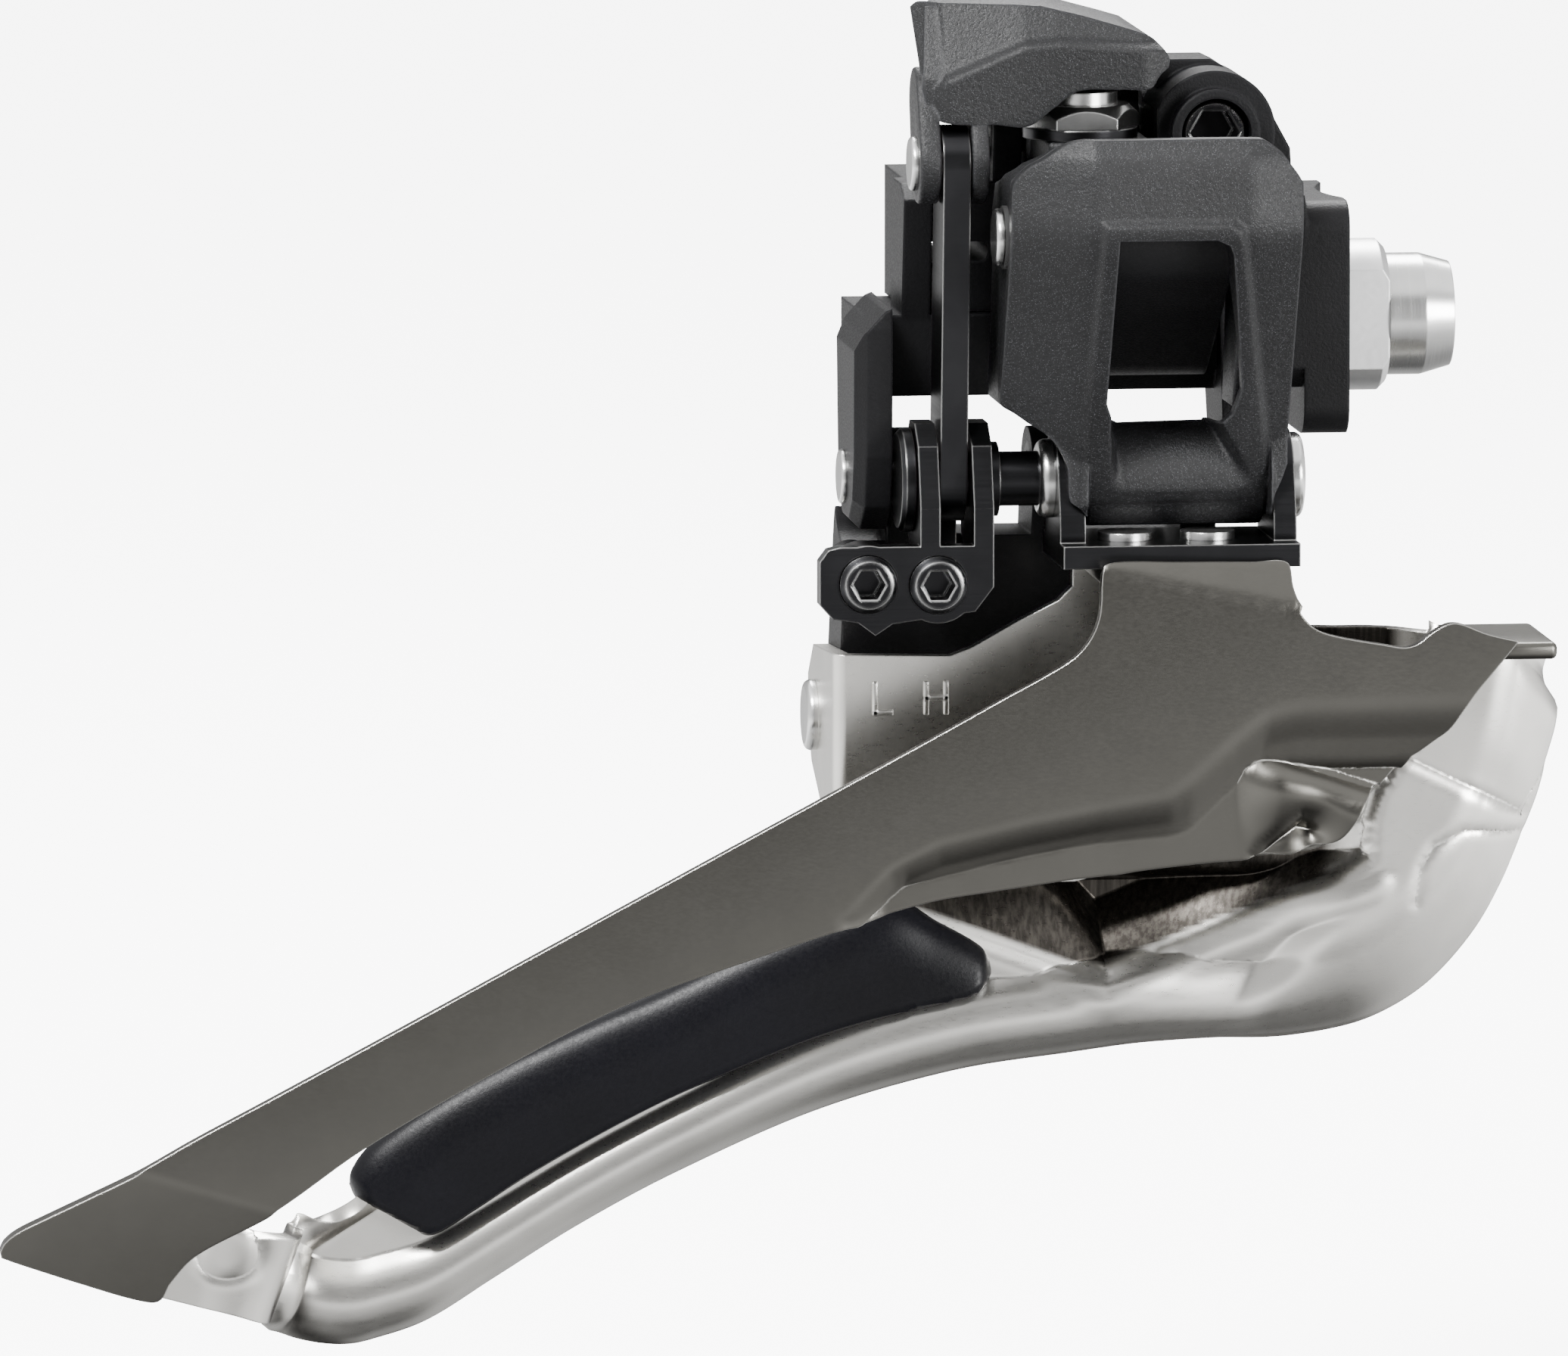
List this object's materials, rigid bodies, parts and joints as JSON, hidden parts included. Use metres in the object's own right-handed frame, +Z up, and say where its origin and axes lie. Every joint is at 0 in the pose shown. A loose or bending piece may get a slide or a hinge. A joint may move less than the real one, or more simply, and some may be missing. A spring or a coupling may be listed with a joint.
{
  "type": "front derailleur",
  "caption": "Front derailleur for a braze-on hanger: sprung parallelogram, toggle lever, limit and support screws, and a chain cage with a skid pad.",
  "frame": {"origin": "centre of the hanger seat, on the axis of the fixing bolt", "axes": "+X to the front of the bicycle along the fixing bolt, +Y inboard to the frame, +Z up"},
  "size_m": [0.1109, 0.0388, 0.0942],
  "materials": {
    "cast_black": "fine sand-textured black paint over die-cast alloy",
    "link_black": "dark grey metallic paint with fine sparkle",
    "steel_black": "black-plated sheared steel, edges worn bright",
    "screw_black": "black oxide with bright worn rim",
    "bolt_steel": "turned steel with fine lathe rings",
    "washer_alloy": "satin bead-blasted aluminium",
    "rivet_bright": "polished nickel-plated steel",
    "plate_dark": "dark satin nickel with brushed grain",
    "plate_bright": "bright satin nickel with polished rim",
    "pad_resin": "black low-friction resin, satin",
    "bush_resin": "dark bearing resin",
    "spring_steel": "drawn spring wire"
  },
  "bodies": {
    "base": {"base_body": "cast_black", "fixing_bolt": "bolt_steel", "hanger_washer": "washer_alloy", "outer_link_pin": "rivet_bright", "inner_link_pin": "rivet_bright", "lever_pin": "rivet_bright", "return_spring": "spring_steel"},
    "support_screw": {"support_bolt": "screw_black"},
    "outer_link": {"outer_link": "link_black", "outer_link_bushes": "bush_resin", "cage_axle_bushes": "bush_resin"},
    "inner_link": {"inner_link": "cast_black", "inner_link_bushes": "bush_resin"},
    "toggle_lever": {"toggle_lever": "link_black", "cable_anchor_bolt": "rivet_bright", "cable_clamp_washer": "steel_black", "toggle_pin": "rivet_bright"},
    "toggle_rod": {"toggle_rod": "steel_black"},
    "cage": {"cage_bracket": "steel_black", "web_rivets": "rivet_bright", "cage_axle": "steel_black", "axle_end_washer": "steel_black", "axle_collar": "steel_black", "axle_rivet_heads": "rivet_bright", "limit_screw_plate": "steel_black", "inner_bracket": "plate_bright", "inner_link_rivet": "rivet_bright", "outer_plate": "plate_dark", "inner_plate": "plate_bright", "skid_pad": "pad_resin", "tail_rivet": "rivet_bright", "bracket_rivets": "rivet_bright"},
    "low_screw": {"low_limit_screw": "screw_black"},
    "high_screw": {"high_limit_screw": "screw_black"}
  },
  "joints": [
    {"name": "shift", "type": "hinge", "parent": "base", "child": "outer_link", "pos_m": [-0.016, -0.022, 0.008], "axis": [-1, 0, 0], "range_deg": [0, 30], "stiffness_Nm_per_rad": 0.12, "springref_deg": -34.38},
    {"name": "inner_link_pivot", "type": "hinge", "parent": "base", "child": "inner_link", "pos_m": [-0.021, -0.009, -0.01], "axis": [-1, 0, 0], "range_deg": [0, 30], "deforming": ["return_spring"]},
    {"name": "cage_pivot", "type": "hinge", "parent": "outer_link", "child": "cage", "pos_m": [-0.014, -0.016, -0.0095], "axis": [-1, 0, 0], "range_deg": [-30, 0]},
    {"name": "toggle_rod_pivot", "type": "hinge", "parent": "outer_link", "child": "toggle_rod", "pos_m": [-0.014, -0.016, -0.0095], "axis": [-1, 0, 0], "range_deg": [-6, 0]},
    {"name": "lever_pivot", "type": "hinge", "parent": "base", "child": "toggle_lever", "pos_m": [-0.019, -0.006, 0.014], "axis": [-1, 0, 0], "range_deg": [-12, 0]},
    {"name": "support_screw_travel", "type": "slide", "parent": "base", "child": "support_screw", "axis": [0, 1, 0], "range_m": [0, 0.004]},
    {"name": "low_screw_travel", "type": "slide", "parent": "cage", "child": "low_screw", "axis": [0, -1, 0], "range_m": [0, 0.0015]},
    {"name": "high_screw_travel", "type": "slide", "parent": "cage", "child": "high_screw", "axis": [0, -1, 0], "range_m": [0, 0.0015]}
  ],
  "couplings": [
    {"joint": "inner_link_pivot", "follows": "shift", "ratio": 1},
    {"joint": "cage_pivot", "follows": "shift", "ratio": -1},
    {"joint": "toggle_rod_pivot", "follows": "shift", "ratio": -0.147},
    {"joint": "lever_pivot", "follows": "shift", "ratio": -0.326}
  ]
}
